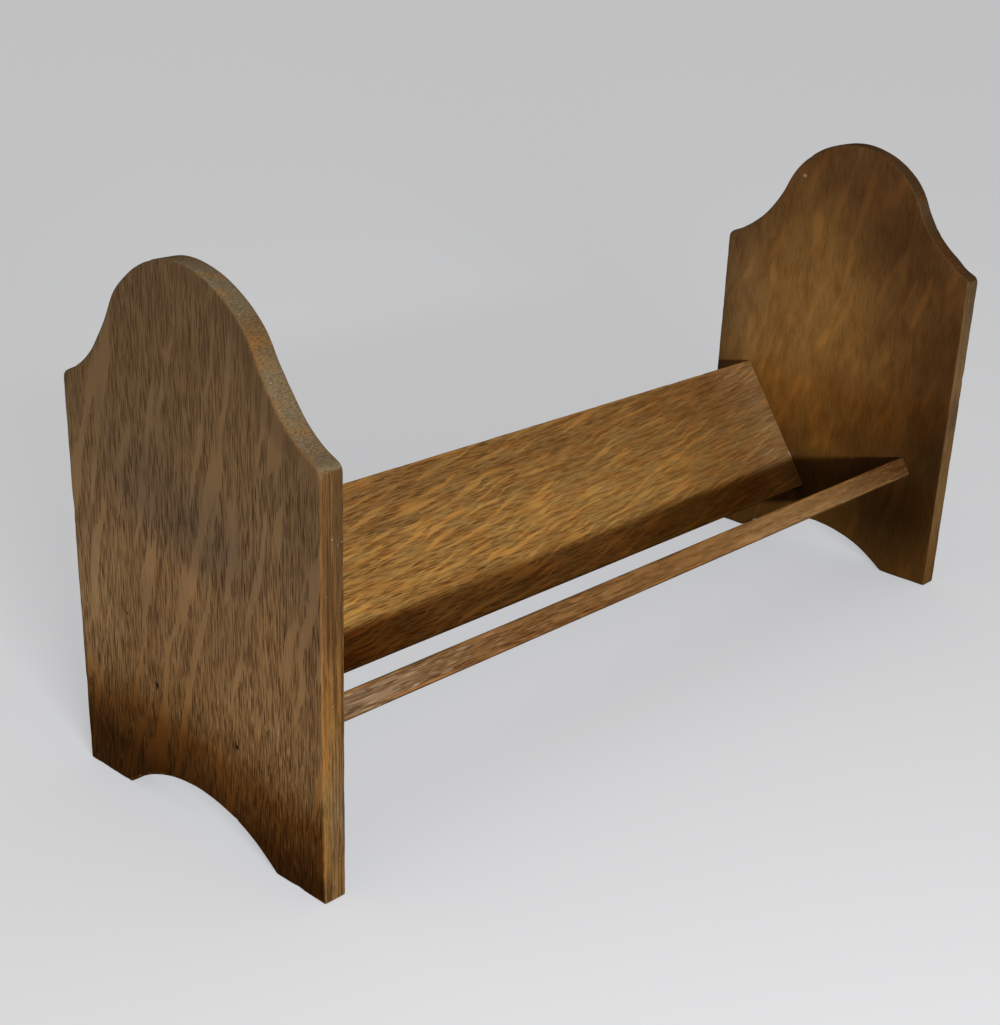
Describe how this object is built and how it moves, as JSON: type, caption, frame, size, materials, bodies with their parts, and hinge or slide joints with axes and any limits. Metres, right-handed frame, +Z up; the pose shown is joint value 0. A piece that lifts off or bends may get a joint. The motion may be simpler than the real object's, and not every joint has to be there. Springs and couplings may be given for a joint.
{
  "type": "book trough",
  "caption": "Oak book trough: shaped end panels with domed tops and arched feet, joined by a sloping back board and a front rail that cradle a row of books.",
  "frame": {"origin": "on the table under the middle of the object, at the bottom centre of its bounding box", "axes": "+X along the length towards the right-hand end panel, -Y towards the open front where the rail is, +Z up"},
  "size_m": [0.457, 0.155, 0.2344],
  "materials": {
    "oak_panel": "aged oak, dark brown stain under satin wax, upright grain with open pores and ray fleck",
    "oak_board": "aged golden oak, satin wax, grain along the length with ray fleck",
    "oak_rail": "aged light oak, thin satin wax, grain along the length, rubbed edges",
    "dark_stopping": "dark wax and putty stopping, matt, slightly shrunken",
    "pin_steel": "drawn steel wire, dulled"
  },
  "bodies": {
    "root": {"left_end_panel": "oak_panel", "right_end_panel": "oak_panel", "back_board": "oak_board", "front_rail": "oak_rail", "pin_left_board_low": "pin_steel", "pin_left_board_high": "pin_steel", "pin_left_rail_back": "pin_steel", "pin_left_rail_front": "pin_steel", "pin_right_board_low": "pin_steel", "pin_right_board_high": "pin_steel", "pin_right_rail_back": "pin_steel", "pin_right_rail_front": "pin_steel", "stopping_left_board_low": "dark_stopping", "stopping_left_board_high": "dark_stopping", "stopping_left_rail_back": "dark_stopping", "stopping_left_rail_front": "dark_stopping", "stopping_right_board_low": "dark_stopping", "stopping_right_board_high": "dark_stopping", "stopping_right_rail_back": "dark_stopping", "stopping_right_rail_front": "dark_stopping"}
  },
  "joints": []
}
